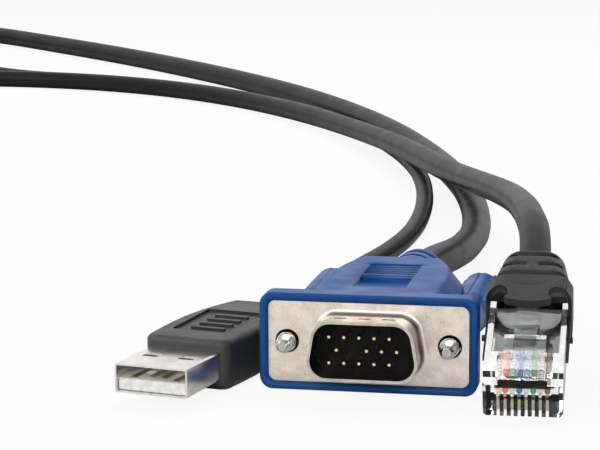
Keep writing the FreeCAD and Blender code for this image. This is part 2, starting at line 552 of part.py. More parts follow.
def modular_sheath():
    """The main lead's sheath, from inside the plug to the end of the boot."""
    flat = rect_outline(7.8, 4.7, 2.2, SHEATH_START, z=BOOT_AXIS_Z)
    round_start = rect_outline(MAIN_LEAD_D, MAIN_LEAD_D, MAIN_LEAD_D * 0.49, MOD_L - 2,
                               z=BOOT_AXIS_Z)
    front = Part.makeLoft([flat, round_start], True, True)
    rear = rod(MAIN_LEAD_D / 2, MOD_L - 2, BOOT_END, z=BOOT_AXIS_Z)
    return front.fuse(rear).removeSplitter()


def upright(radius, x, y):
    """A tall cutter standing on the plan."""
    return Part.makeCylinder(radius, 30, V(x, y, -5), V(0, 0, 1))


def boot_guard():
    """The arched guard over the latch tail: a bowed lip in the middle, a round bite at each
    side of it, an ear that curves over and down each side, and a crescent behind."""
    outer, inner = BOOT_W / 2, MOD_W / 2 + BOOT_FIT
    depth = GUARD_END - LIP_FRONT
    under = LIP_TOP - LIP_T

    def arch(half, top, radius, foot):
        corners = [V(-half, LIP_FRONT, foot), V(half, LIP_FRONT, foot), V(half, LIP_FRONT, top),
                   V(-half, LIP_FRONT, top)]
        return prism(rounded_outline(corners, [0.1, 0.1, radius, radius]), depth)

    guard = arch(outer, LIP_TOP, GUARD_R, GUARD_FOOT)
    guard = guard.cut(arch(inner, under, GUARD_R - outer + inner, GUARD_FOOT - 5))
    guard = guard.common(upright(LIP_BOW_R, 0, LIP_FRONT + LIP_BOW_R))
    for side in (-1, 1):
        waist_y = LIP_FRONT + WAIST_BACK
        guard = guard.cut(upright(WAIST_R, side * (WAIST_HALF + WAIST_R), waist_y))
        near, far = sorted((side * LIP_HALF, side * (outer + 1)))
        guard = guard.cut(block(near, far, LIP_FRONT - 1, waist_y, -1, LIP_TOP + 1))
    crescent_y = GUARD_END + CRESCENT_R - CRESCENT_DEPTH
    return guard.cut(upright(CRESCENT_R, 0, crescent_y))


def modular_boot():
    """The snagless boot: a sleeve over the plug's rear, a guard over the latch tail, a slotted
    strain relief, and a thin arm with a nib along each side."""
    mid = (MOD_H + BOOT_COVER - BOOT_UNDER) / 2
    sleeve = prism(rect_outline(BOOT_W, BOOT_H, BOOT_R, BOOT_START, z=mid),
                   BOOT_SHOULDER - 1 - BOOT_START)
    relief = Part.makeLoft([
        rect_outline(BOOT_W, BOOT_H, BOOT_R, BOOT_SHOULDER - 1, z=mid),
        rect_outline(BOOT_W - 2 * BOOT_NECK_IN, BOOT_H, 2.2, BOOT_SHOULDER + 0.3, z=mid),
        rect_outline(BOOT_W - 2 * BOOT_TIP_IN, BOOT_TIP_H, 3.6, BOOT_END,
                     z=BOOT_AXIS_Z + BOOT_TIP_RISE),
    ], True, True)
    end = edges_at(relief, lambda b: b.YMin > BOOT_END - 1e-6)
    relief = relief.makeFillet(BOOT_END_EDGE, end)
    boot = sleeve.fuse(relief).fuse(boot_guard())
    for side in (-1, 1):
        face = MOD_W / 2 + BOOT_FIT
        near, far = sorted((side * face, side * (face + ARM_T)))
        low, high = ARM_Z
        arm = side_cut([(ARM_FRONT, low), (ARM_FRONT, high), (BOOT_START + 1, high + 0.7),
                        (BOOT_START + 1, low - 0.5)], near, far)
        near, far = sorted((side * face, side * (face + NIB_T)))
        boot = boot.fuse(arm).fuse(block(near, far, NIB_Y - NIB_HALF, NIB_Y + NIB_HALF, low, high))
    pocket = block(-MOD_W / 2 - BOOT_FIT, MOD_W / 2 + BOOT_FIT, BOOT_START - 1, MOD_L + BOOT_FIT,
                   -BOOT_FIT, MOD_H + BOOT_FIT)
    boot = boot.cut(pocket)
    over, below = BOOT_AXIS_Z + MAIN_LEAD_D / 2 + 0.7, BOOT_AXIS_Z - MAIN_LEAD_D / 2 - 0.5
    for row in range(3):
        y = BOOT_SHOULDER + BOOT_SLOT_FIRST + BOOT_SLOT_PITCH * row
        for low, high in ((over, 20), (-20, below)):
            slot = block(-BOOT_W, BOOT_W, y - BOOT_SLOT_W / 2, y + BOOT_SLOT_W / 2, low, high)
            if row == 1:
                bridge = BOOT_SLOT_BRIDGE / 2
                slot = slot.cut(block(-bridge, bridge, y - BOOT_SLOT_W, y + BOOT_SLOT_W, low, high))
            boot = boot.cut(slot)
    bore = rod(MAIN_LEAD_D / 2 + BOOT_FIT, MOD_L - 1, BOOT_END + 1, z=BOOT_AXIS_Z)
    return boot.cut(bore).removeSplitter()


# ---------------------------------------------------------------- junction, coil and tie
def junction():
    """The moulded junction: two branch noses, a tapered body and one tail nose."""
    top, x, z = JUNCTION_TOP, COIL_CENTRE[0] - COIL_OUT_R, JUNCTION_H / 2
    body_top = top - NOSE_LENGTH
    body = Part.makeLoft([
        rect_outline(JUNCTION_TAIL_W, JUNCTION_H - 0.6, 2.4, body_top - JUNCTION_BODY, x=x, z=z),
        rect_outline(JUNCTION_W, JUNCTION_H, 2.6, body_top - JUNCTION_BODY * 0.35, x=x, z=z),
        rect_outline(JUNCTION_W, JUNCTION_H, 2.6, body_top, x=x, z=z),
    ], True, True)
    for side, size in ((-1, VIDEO_LEAD_D), (1, USB_LEAD_D)):
        nose = Part.makeCone(size / 2 + NOSE_WALL + 0.4, size / 2 + NOSE_WALL, NOSE_LENGTH + 1,
                             V(x + side * BRANCH_SPACING / 2, body_top - 1, z), V(0, 1, 0))
        body = body.fuse(nose)
    tail = Part.makeCone(MAIN_LEAD_D / 2 + NOSE_WALL + 0.4, MAIN_LEAD_D / 2 + NOSE_WALL,
                         NOSE_LENGTH + 1, V(x, body_top - JUNCTION_BODY + 1, z), V(0, -1, 0))
    return body.fuse(tail).removeSplitter()


def coil_solid():
    """The outer shape of the wound turns, lying on the tie."""
    x, y = COIL_CENTRE
    height = COIL_LAYERS * MAIN_LEAD_D + 0.2
    outer = Part.makeCylinder(COIL_OUT_R + MAIN_LEAD_D / 2, height, V(x, y, TIE_T))
    inner = Part.makeCylinder(COIL_IN_R - MAIN_LEAD_D / 2, height, V(x, y, TIE_T))
    return outer.cut(inner)


def coil_tie():
    """A flat strap round the turns, on the side away from the lead's two ends."""
    x, y = COIL_CENTRE
    height = COIL_LAYERS * MAIN_LEAD_D + 0.2
    near, far = y + COIL_IN_R - MAIN_LEAD_D / 2, y + COIL_OUT_R + MAIN_LEAD_D / 2
    strap = block(x - TIE_W / 2, x + TIE_W / 2, near - TIE_T, far + TIE_T, 0, height + 2 * TIE_T)
    edges = edges_at(strap, lambda b: b.XLength > TIE_W - 1e-6)
    return strap.makeFillet(TIE_T * 0.9, edges).cut(coil_solid())


# ---------------------------------------------------------------- placing and writing
def video_place(shape):
    shape.translate(V(0, VIDEO_FACE_Y, VIDEO_AXIS_Z))
    return shape


def usb_place(shape):
    shape.translate(V(0, 0, USB_GRIP_H / 2))
    shape.rotate(V(0, 0, 0), V(0, 0, 1), USB_TURN)
    shape.translate(V(USB_MOUTH[0], USB_MOUTH[1], 0))
    return shape


def modular_place(shape):
    shape.rotate(V(0, 0, 0), V(1, 0, 0), MOD_TILT)
    shape.rotate(V(0, 0, 0), V(0, 0, 1), MOD_TURN)
    shape.translate(V(MOD_NOSE[0], MOD_NOSE[1], 0))
    return shape


def point_of(place, x, y, z):
    """Where a plug's own point ends up after the plug is placed."""
    return tuple(place(Part.Vertex(x, y, z)).Point)


def build():
    nodes = {"vga_front_shell": video_place(vga_front_shell()),
             "vga_insulator": video_place(vga_insulator()),
             "vga_hood": video_place(vga_hood())}
    for name, x, z in pin_places():
        nodes[name] = video_place(vga_pin(x, z))
    for side, x in (("left", -SCREW_SPACING / 2), ("right", SCREW_SPACING / 2)):
        nodes[f"{side}_screw"] = video_place(thumbscrew_rod(x))
        nodes[f"{side}_knob"] = video_place(thumbscrew_knob(x))
    nodes["usb_shell"] = usb_place(usb_shell())
    nodes["usb_tongue"] = usb_place(usb_tongue())
    for number, x in enumerate(USB_CONTACT_X, 1):
        nodes[f"usb_contact_{number}"] = usb_place(usb_contact(x))
    nodes["usb_overmold"] = usb_place(usb_overmold())
    nodes["rj45_body"] = modular_place(modular_body())
    for way in range(MOD_WAYS):
        nodes[f"rj45_contact_{way + 1}"] = modular_place(modular_contact(way))
        nodes[f"rj45_wire_{way + 1}"] = modular_place(modular_wire(way))
    nodes["rj45_sheath"] = modular_place(modular_sheath())
    nodes["rj45_boot"] = modular_place(modular_boot())
    junction_x = COIL_CENTRE[0] - COIL_OUT_R
    tail_y = JUNCTION_TOP - 2 * NOSE_LENGTH - JUNCTION_BODY
    layer = TIE_T + MAIN_LEAD_D / 2
    video_exit = point_of(video_place, 0, HOOD_END + RELIEF_LENGTH, 0)
    usb_exit = point_of(usb_place, 0, USB_REACH + GRIP_WALL[-1][0] + USB_RELIEF_LENGTH, 0)
    main_exit = point_of(modular_place, 0, BOOT_END, BOOT_AXIS_Z)
    video_end = (junction_x - BRANCH_SPACING / 2, JUNCTION_TOP, JUNCTION_H / 2)
    usb_end = (junction_x + BRANCH_SPACING / 2, JUNCTION_TOP, JUNCTION_H / 2)
    coil_end = (COIL_CENTRE[0], COIL_CENTRE[1] - COIL_OUT_R, layer)
    nodes["vga_cable"] = lead("vga_cable", [video_exit] + VIDEO_ROUTE + [video_end], VIDEO_LEAD_D)
    nodes["usb_cable"] = lead("usb_cable", [usb_exit] + USB_ROUTE + [usb_end], USB_LEAD_D)
    nodes["main_cable"] = lead("main_cable", [main_exit] + MAIN_ROUTE + [coil_end], MAIN_LEAD_D)
    coil_start = (junction_x, COIL_CENTRE[1], layer + (COIL_LAYERS - 1) * MAIN_LEAD_D)
    tail_route = [(junction_x, tail_y, JUNCTION_H / 2)] + TAIL_ROUTE + [coil_start]
    nodes["main_cable_tail"] = lead("main_cable_tail", tail_route, MAIN_LEAD_D)
    nodes["main_cable_coil"] = coil_solid()
    nodes["coil_tie"] = coil_tie()
    nodes["cable_junction"] = junction()
    return nodes


os.makedirs("parts", exist_ok=True)
for name, solid in build().items():
    solid.exportStep(f"parts/{name}.step")
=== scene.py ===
import bpy
import json
import math
from mathutils import Matrix, Vector


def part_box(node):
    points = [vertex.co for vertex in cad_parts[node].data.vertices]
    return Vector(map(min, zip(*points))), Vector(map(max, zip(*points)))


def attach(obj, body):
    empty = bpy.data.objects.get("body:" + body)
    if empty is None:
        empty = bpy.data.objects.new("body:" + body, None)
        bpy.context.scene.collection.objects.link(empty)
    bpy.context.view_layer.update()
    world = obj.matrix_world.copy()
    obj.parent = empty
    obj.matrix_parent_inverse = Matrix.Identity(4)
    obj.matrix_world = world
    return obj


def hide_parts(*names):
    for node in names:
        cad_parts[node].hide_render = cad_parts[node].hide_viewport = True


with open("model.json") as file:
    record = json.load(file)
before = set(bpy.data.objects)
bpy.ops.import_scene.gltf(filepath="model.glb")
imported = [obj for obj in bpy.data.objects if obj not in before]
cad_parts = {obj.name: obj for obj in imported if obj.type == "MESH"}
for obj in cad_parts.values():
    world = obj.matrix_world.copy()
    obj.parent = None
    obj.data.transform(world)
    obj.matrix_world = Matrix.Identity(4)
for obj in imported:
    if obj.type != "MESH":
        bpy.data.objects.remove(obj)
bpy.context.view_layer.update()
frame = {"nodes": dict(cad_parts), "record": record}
nodes = frame["nodes"]


def deselect():
    """Leaves nothing selected and nothing active."""
    for each in bpy.context.selected_objects:
        each.select_set(False)
    bpy.context.view_layer.objects.active = None


# ------------------------------------------------------------------ camera
deselect()
bpy.ops.object.camera_add(location=(0.0573, -0.3656, 0.0892),
                          rotation=tuple(math.radians(a) for a in (79.64, 0.325, 11.15)))
camera = bpy.context.object
camera.data.lens = 140.7
camera.data.sensor_width = 36
camera.data.clip_start, camera.data.clip_end = 0.02, 20
bpy.context.scene.camera = camera


# ------------------------------------------------------------------ leads
POINT_RADIUS = 0.001                        # small, because a curve's bounding box grows by it


def lead(name, points, diameter):
    """A round lead as one smooth curve through the route's control points."""
    curve = bpy.data.curves.new(name, "CURVE")
    curve.dimensions = "3D"
    curve.bevel_depth = diameter / 2 / POINT_RADIUS
    curve.bevel_resolution = 6
    curve.use_fill_caps = True
    spline = curve.splines.new("NURBS")
    spline.points.add(len(points) - 1)
    for spot, place in zip(spline.points, points):
        spot.co = (*place, 1)
        spot.radius = POINT_RADIUS
    spline.order_u = 3
    spline.use_endpoint_u = True
    spline.resolution_u = 20
    piece = bpy.data.objects.new(name, curve)
    bpy.context.scene.collection.objects.link(piece)
    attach(piece, "root")
    return piece


video_route = [
    (0, 0.0299, 0.00755), (0.0002, 0.0375, 0.0075), (0.0014, 0.047, 0.0068),
    (0.0024, 0.059, 0.0055), (0.0027, 0.074, 0.0042), (0.0023, 0.093, 0.0032),
    (-0.0004, 0.116, 0.00295), (-0.0053, 0.142, 0.00295), (-0.0128, 0.17, 0.00295),
    (-0.0226, 0.1995, 0.00295), (-0.0345, 0.23, 0.00295), (-0.0505, 0.263, 0.00295),
    (-0.0705, 0.2975, 0.00295), (-0.094, 0.3305, 0.00295), (-0.1215, 0.364, 0.00295),
    (-0.153, 0.3985, 0.00295), (-0.188, 0.4325, 0.00295), (-0.222, 0.4645, 0.00295),
    (-0.2395, 0.4705, 0.00295), (-0.2575, 0.4675, 0.00295), (-0.2715, 0.456, 0.0032),
    (-0.279, 0.44, 0.004), (-0.2793, 0.424, 0.0044),
]
usb_route = [
    (-0.2707, 0.424, 0.0044), (-0.2695, 0.4335, 0.0042), (-0.2635, 0.444, 0.0034),
    (-0.2525, 0.4515, 0.0026), (-0.2395, 0.453, 0.0021), (-0.2255, 0.446, 0.00195),
    (-0.2155, 0.431, 0.00195), (-0.2116, 0.409, 0.00195), (-0.2055, 0.387, 0.00195),
    (-0.1965, 0.367, 0.00195), (-0.181, 0.3515, 0.00195), (-0.16, 0.3418, 0.00195),
    (-0.1342, 0.3326, 0.00195), (-0.1074, 0.3174, 0.00195), (-0.0833, 0.2964, 0.00195),
    (-0.0623, 0.2712, 0.00195), (-0.0457, 0.2418, 0.00195), (-0.0331, 0.2122, 0.00195),
    (-0.0238, 0.185, 0.00195), (-0.0181, 0.161, 0.00195), (-0.0142, 0.137, 0.00195),
    (-0.0119, 0.114, 0.00195), (-0.0114, 0.094, 0.00195), (-0.0129, 0.076, 0.00195),
    (-0.0158, 0.06, 0.00195), (-0.017, 0.045, 0.0022), (-0.0176, 0.031, 0.003),
    (-0.0189, 0.0195, 0.0037), (-0.02033, 0.01159, 0.0039),
]
main_route = [
    (-0.2435, 0.325, 0.00315), (-0.2305, 0.3256, 0.0029), (-0.215, 0.3295, 0.0027),
    (-0.192, 0.334, 0.0026), (-0.1645, 0.3345, 0.0026), (-0.1368, 0.3275, 0.0026),
    (-0.1108, 0.313, 0.0026), (-0.087, 0.2923, 0.0026), (-0.0668, 0.2675, 0.00275),
    (-0.05, 0.239, 0.0035), (-0.0368, 0.2105, 0.0049), (-0.0258, 0.1825, 0.0065),
    (-0.0168, 0.1585, 0.0075), (-0.0096, 0.1375, 0.0086), (-0.0027, 0.118, 0.0101),
    (0.0038, 0.098, 0.012), (0.0096, 0.076, 0.0144), (0.0149, 0.051, 0.0172),
    (0.0192, 0.0265, 0.0194), (0.0225, 0.0065, 0.0192), (0.02318, -0.00374, 0.0158),
]
tail_route = [
    (-0.275, 0.394, 0.0044), (-0.275, 0.383, 0.0052), (-0.27505, 0.369, 0.0074),
    (-0.275, 0.3565, 0.00825),
]

# The put-away turns: two inwards on top, a step down, one outwards below
COIL_X, COIL_Y = -0.2435, 0.3565
COIL_OUT, COIL_IN = 0.0315, 0.0204
TOP_LAYER, LOW_LAYER = 0.00825, 0.00315
POINTS_A_TURN, TURNS, TOP_TURNS, STEP_TURNS = 16, 3.25, 2.0, 0.25
OUTSIDE = 1.01                              # the curve cuts the corners between its points
coil_turns = []
for step in range(2, round(TURNS * POINTS_A_TURN) - 1):
    t = step / POINTS_A_TURN
    if t < TOP_TURNS:
        radius, height = COIL_OUT + (COIL_IN - COIL_OUT) * t / TOP_TURNS, TOP_LAYER
    elif t < TOP_TURNS + STEP_TURNS:
        share = (t - TOP_TURNS) / STEP_TURNS
        radius, height = COIL_IN, TOP_LAYER + (LOW_LAYER - TOP_LAYER) * share
    else:
        share = (t - TOP_TURNS - STEP_TURNS) / (TURNS - TOP_TURNS - STEP_TURNS)
        radius, height = COIL_IN + (COIL_OUT - COIL_IN) * share, LOW_LAYER
    turn = math.pi + 2 * math.pi * t
    coil_turns.append((COIL_X + OUTSIDE * radius * math.cos(turn),
                       COIL_Y + OUTSIDE * radius * math.sin(turn), height))

video_lead = lead("video_lead", video_route, 0.0059)
usb_lead = lead("usb_lead", usb_route, 0.0038)
main_lead = lead("main_lead", tail_route + coil_turns + main_route, 0.0051)
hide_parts("vga_cable")
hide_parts("usb_cable")
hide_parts("main_cable", "main_cable_tail", "main_cable_coil")


# ------------------------------------------------------------------ making pieces
FACE_Y, AXIS_Z = -0.024, 0.00755            # the video plug's face and axis
SCREW_X = 0.012495                          # each thumbscrew, to either side of the axis


def copied(node_name, name):
    """A node's shape as a new, merged piece that can be worked on."""
    deselect()
    piece = bpy.data.objects.new(name, nodes[node_name].data.copy())
    bpy.context.scene.collection.objects.link(piece)
    take(piece)
    bpy.ops.object.mode_set(mode="EDIT")
    bpy.ops.mesh.select_all(action="SELECT")
    bpy.ops.mesh.remove_doubles(threshold=1e-6)
    bpy.ops.object.mode_set(mode="OBJECT")
    return piece


def take(piece):
    """Selects one piece alone and makes it active."""
    deselect()
    piece.select_set(True)
    bpy.context.view_layer.objects.active = piece


def settle(piece):
    """Puts a piece's place, turn and scale into its mesh."""
    take(piece)
    bpy.ops.object.transform_apply(location=True, rotation=True, scale=True)


def box(name, low, high):
    """A box between two corners."""
    deselect()
    middle = [(a + b) / 2 for a, b in zip(low, high)]
    bpy.ops.mesh.primitive_cube_add(size=1, location=middle)
    piece = bpy.context.object
    piece.name = name
    piece.scale = [b - a for a, b in zip(low, high)]
    settle(piece)
    return piece


def drum(name, radius, start, end, sides=48):
    """A round bar from one point to another."""
    deselect()
    start, end = Vector(start), Vector(end)
    turn = (end - start).to_track_quat("Z", "Y").to_euler()
    bpy.ops.mesh.primitive_cylinder_add(radius=radius, depth=(end - start).length,
                                        vertices=sides, location=(start + end) / 2,
                                        rotation=turn)
    piece = bpy.context.object
    piece.name = name
    settle(piece)
    return piece


def carve(piece, tool, operation="DIFFERENCE"):
    """Cuts one piece with another, or joins the two into one skin; the tool goes."""
    take(piece)
    cut = piece.modifiers.new("Cut", "BOOLEAN")
    cut.operation, cut.object, cut.solver = operation, tool, "EXACT"
    bpy.ops.object.modifier_apply(modifier=cut.name)
    bpy.data.objects.remove(tool, do_unlink=True)


def round_edges(piece, radius, chosen, segments):
    """Rounds the edges whose middle and direction pass the test."""
    take(piece)
    bpy.ops.object.mode_set(mode="EDIT")
    bpy.ops.mesh.select_mode(type="EDGE")
    bpy.ops.mesh.select_all(action="DESELECT")
    bpy.ops.object.mode_set(mode="OBJECT")
    corners = piece.data.vertices
    for edge in piece.data.edges:
        a, b = (corners[i].co for i in edge.vertices)
        edge.select = chosen((a + b) / 2, (b - a).normalized())
    bpy.ops.object.mode_set(mode="EDIT")
    bpy.ops.mesh.bevel(offset=radius, segments=segments, affect="EDGES")
    bpy.ops.object.mode_set(mode="OBJECT")


def smooth(piece, degrees=35):
    """Smooth shading, apart from edges sharper than the angle."""
    take(piece)
    bpy.ops.object.shade_smooth_by_angle(angle=math.radians(degrees))


# ------------------------------------------------------------------ hood
FRAME_BACK, THIN_BACK = FACE_Y + 0.006, FACE_Y + 0.0027     # the front frame's back, and the new
SHOULDER_HALF, SHOULDER_TALL, SHOULDER_REAR = 0.0124, 0.0067, FACE_Y + 0.0334
REAR_ROUND, EDGE_ROUND, ROUND_STEPS = 0.0042, 0.0030, 7
GRIP_HALF = 0.0075                          # the middle, with the grips, keeps its shape
HOLLOW_HALF, HOLLOW_TALL, HOLLOW_BACK = 0.0106, 0.0057, FACE_Y + 0.0104
SCALLOP_R, SCALLOP_FRONT, BORE_R = 0.00395, FACE_Y + 0.0115, 0.0016


def hood_skin():
    """The overmoulding with a thin front frame, round shoulders and scallops for the knobs."""
    skin = copied("vga_hood", "hood_skin")
    for corner in skin.data.vertices:
        if abs(corner.co.y - FRAME_BACK) < 1e-5:
            corner.co.y = THIN_BACK
    body = box("shoulders", (-SHOULDER_HALF, THIN_BACK - 0.0004, AXIS_Z - SHOULDER_TALL),
               (SHOULDER_HALF, SHOULDER_REAR, AXIS_Z + SHOULDER_TALL))
    round_edges(body, REAR_ROUND, lambda at, way: abs(way.z) > 0.9 and at.y > 0, ROUND_STEPS)
    round_edges(body, EDGE_ROUND, lambda at, way: abs(way.z) < 0.1
                and THIN_BACK < at.y < SHOULDER_REAR - 1e-5 and abs(at.x) > 0.005
                and abs(at.z - AXIS_Z) > SHOULDER_TALL - 1e-5, ROUND_STEPS)
    carve(body, box("grips", (-GRIP_HALF, THIN_BACK - 0.002, -0.01),
                    (GRIP_HALF, SHOULDER_REAR + 0.01, 0.03)))
    carve(body, box("hollow", (-HOLLOW_HALF, THIN_BACK - 0.002, AXIS_Z - HOLLOW_TALL),
                    (HOLLOW_HALF, HOLLOW_BACK, AXIS_Z + HOLLOW_TALL)))
    for x in (-SCREW_X, SCREW_X):
        carve(body, drum("scallop", SCALLOP_R, (x, SCALLOP_FRONT, AXIS_Z),
                         (x, FACE_Y + 0.05, AXIS_Z)))
        carve(body, drum("bore", BORE_R, (x, FACE_Y - 0.002, AXIS_Z),
                         (x, FACE_Y + 0.02, AXIS_Z), sides=32))
    carve(skin, body, "UNION")
    smooth(skin)
    return skin


# ------------------------------------------------------------------ modular plug
PLUG = (Matrix.Translation((0.02455, -0.034, 0)) @ Matrix.Rotation(math.radians(2.6), 4, "Z")
        @ Matrix.Rotation(math.radians(22.0), 4, "X"))


CRESCENT_R, CRESCENT_Y, CRESCENT_FOOT, CRESCENT_TOP = 0.0056, 23.4, 8.6, 12.5
FLAT_SIZE, FLAT_MIDDLE, FLAT_ROUND = (0.0096, 0.0126, 0.0049), (0, 0.0145, 0.0033), 0.0014


def in_plug(x, y, z):
    """A place in the modular plug's own frame, in millimetres, as a place in the scene."""
    return PLUG @ Vector((x / 1000, y / 1000, z / 1000))


def boot_skin():
    """The snagless boot with the deep crescent behind its guard."""
    skin = copied("rj45_boot", "boot_skin")
    carve(skin, drum("crescent", CRESCENT_R, in_plug(0, CRESCENT_Y, CRESCENT_FOOT),
                     in_plug(0, CRESCENT_Y, CRESCENT_TOP), sides=64))
    smooth(skin)
    return skin


def flat_sheath():
    """The end of the main lead's sheath, pressed flat inside the clear plug."""
    deselect()
    bpy.ops.mesh.primitive_cube_add(size=1)
    piece = bpy.context.object
    piece.name = "flat_sheath"
    piece.scale = FLAT_SIZE
    settle(piece)
    round_edges(piece, FLAT_ROUND, lambda at, way: abs(way.y) > 0.9, segments=5)
    piece.matrix_world = PLUG @ Matrix.Translation(FLAT_MIDDLE)
    settle(piece)
    smooth(piece)
    return piece


# ------------------------------------------------------------------ thumbscrews
# The thread is drawn a little slimmer than a real one of its pitch. Places along the screw are
# from the plug's face; the last is inside the knob.
THREAD_PITCH, CORE_R, CREST_R = 0.000635, 0.00092, 0.00132
RIDGE_FOOT, RIDGE_W, CREST_EDGE, CREST_FLAT = CORE_R - 0.00015, 0.00058, 0.00003, 0.00005
POINT_R, POINT_EDGE, SHANK_R = 0.00075, 0.0001, 0.0015
POINT_END, POINT_FOOT, THREAD_START, RIDGE_START = -0.004, -0.0032, -0.003, -0.00325
SHANK_START, SHANK_END, SCREW_END = -0.0007, 0.012, 0.036


def turned(name, profile, rise=0.0, turns=1, steps=32):
    """A profile of (radius, y) points turned about the screw axis by a Screw modifier."""
    mesh = bpy.data.meshes.new(name)
    mesh.from_pydata([(r, y, 0) for r, y in profile],
                     [(i, i + 1) for i in range(len(profile) - 1)], [])
    piece = bpy.data.objects.new(name, mesh)
    bpy.context.scene.collection.objects.link(piece)
    take(piece)
    spin = piece.modifiers.new("Turn", "SCREW")
    spin.axis, spin.steps, spin.render_steps = "Y", steps, steps
    spin.screw_offset, spin.iterations = rise, turns
    spin.use_merge_vertices, spin.merge_threshold = True, 1e-6
    bpy.ops.object.modifier_apply(modifier=spin.name)
    bpy.ops.object.mode_set(mode="EDIT")
    bpy.ops.mesh.select_all(action="SELECT")
    bpy.ops.mesh.remove_doubles(threshold=1e-7)
    bpy.ops.mesh.normals_make_consistent(inside=False)
    bpy.ops.object.mode_set(mode="OBJECT")
    return piece


def threaded_screw(side, x):
    """A captive screw: dog point, cut thread, plain shank and the part inside the knob."""
    core = turned(f"{side}_thread", [
        (0, POINT_END), (POINT_R - POINT_EDGE, POINT_END), (POINT_R, POINT_END + POINT_EDGE),
        (POINT_R, POINT_FOOT), (CORE_R, THREAD_START), (CORE_R, SHANK_START),
        (SHANK_R, SHANK_START), (SHANK_R, SHANK_END), (CREST_R, SHANK_END),
        (CREST_R, SCREW_END), (0, SCREW_END)])
    shoulder = CREST_R - CREST_EDGE
    ridge = turned("ridge", [
        (RIDGE_FOOT, 0.0), (shoulder, RIDGE_W / 2 - CREST_FLAT), (CREST_R, RIDGE_W / 2),
        (shoulder, RIDGE_W / 2 + CREST_FLAT), (RIDGE_FOOT, RIDGE_W), (RIDGE_FOOT, 0.0)],
        rise=THREAD_PITCH, turns=4, steps=28)
    ridge.location = (0, RIDGE_START, 0)
    settle(ridge)
    take(core)
    ridge.select_set(True)
    bpy.ops.object.join()
    core.location = (x, FACE_Y, AXIS_Z)
    settle(core)
    smooth(core, 30)
    return core


hood = hood_skin()
boot = boot_skin()
sheath_end = flat_sheath()
made = [(hood, "root", "blue_hood", ["vga_hood"]), (boot, "root", "grey_boot", ["rj45_boot"]),
        (sheath_end, "root", "black_jacket", [])]
for side, x in (("left", -SCREW_X), ("right", SCREW_X)):
    made.append((threaded_screw(side, x), f"{side}_thumbscrew", "screw_steel",
                 [f"{side}_screw"]))
for piece, body, slot_name, stood_for in made:
    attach(piece, body)
    if stood_for:
        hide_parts(*stood_for)


# ------------------------------------------------------------------ shared effects
def effect(name, inputs, outputs):
    """A new shader group with its named inputs and outputs; returns it with its two ends."""
    group = bpy.data.node_groups.new(name, "ShaderNodeTree")
    for label, kind, value in inputs:
        socket = group.interface.new_socket(label, in_out="INPUT", socket_type=kind)
        socket.default_value = value
    for label, kind in outputs:
        group.interface.new_socket(label, in_out="OUTPUT", socket_type=kind)
    start = group.nodes.new("NodeGroupInput")
    end = group.nodes.new("NodeGroupOutput")
    return group, start, end


def add(tree, kind, values=(), **settings):
    """A node with its settings and the values of its named or numbered sockets."""
    node = tree.nodes.new(kind)
    for key, value in settings.items():
        setattr(node, key, value)
    for key, value in dict(values).items():
        node.inputs[key].default_value = value
    return node


def ramp(tree, source, low, high, to_low=0.0, to_high=1.0):
    """A number mapped from one range to another and kept inside it."""
    node = add(tree, "ShaderNodeMapRange", {"From Min": low, "From Max": high,
                                            "To Min": to_low, "To Max": to_high})
    tree.links.new(source, node.inputs["Value"])
    return node.outputs["Result"]


def moulded_grain():
    """Spark-eroded mould grain: fine pits, with a slow drift of gloss over the surface."""
    group, start, end = effect(
        "Moulded grain",
        [("Colour", "NodeSocketColor", (0.1, 0.1, 0.1, 1)), ("Scale", "NodeSocketFloat", 4000.0),
         ("Depth", "NodeSocketFloat", 0.3), ("Roughness", "NodeSocketFloat", 0.5),
         ("Drift", "NodeSocketFloat", 0.08)],
        [("Colour", "NodeSocketColor"), ("Roughness", "NodeSocketFloat"),
         ("Normal", "NodeSocketVector")])
    link = group.links.new
    place = add(group, "ShaderNodeTexCoord")
    pits = add(group, "ShaderNodeTexNoise", {"Detail": 3.0, "Roughness": 0.6})
    link(place.outputs["Object"], pits.inputs["Vector"])
    link(start.outputs["Scale"], pits.inputs["Scale"])
    cloud = add(group, "ShaderNodeTexNoise", {"Scale": 160.0, "Detail": 2.0})
    link(place.outputs["Object"], cloud.inputs["Vector"])
    bump = add(group, "ShaderNodeBump", {"Distance": 0.0001})
    link(pits.outputs["Fac"], bump.inputs["Height"])
    link(start.outputs["Depth"], bump.inputs["Strength"])
    slow = ramp(group, cloud.outputs["Fac"], 0.3, 0.7, -1.0, 1.0)
    swing = add(group, "ShaderNodeMath", operation="MULTIPLY")
    link(slow, swing.inputs[0])
    link(start.outputs["Drift"], swing.inputs[1])
    rough = add(group, "ShaderNodeMath", operation="ADD")
    link(start.outputs["Roughness"], rough.inputs[0])
    link(swing.outputs[0], rough.inputs[1])
    shade = ramp(group, pits.outputs["Fac"], 0.3, 0.7, 0.82, 1.15)
    tint = add(group, "ShaderNodeVectorMath", operation="SCALE")
    link(start.outputs["Colour"], tint.inputs[0])
    link(shade, tint.inputs["Scale"])
    link(tint.outputs[0], end.inputs["Colour"])
    link(rough.outputs[0], end.inputs["Roughness"])
    link(bump.outputs["Normal"], end.inputs["Normal"])
    return group


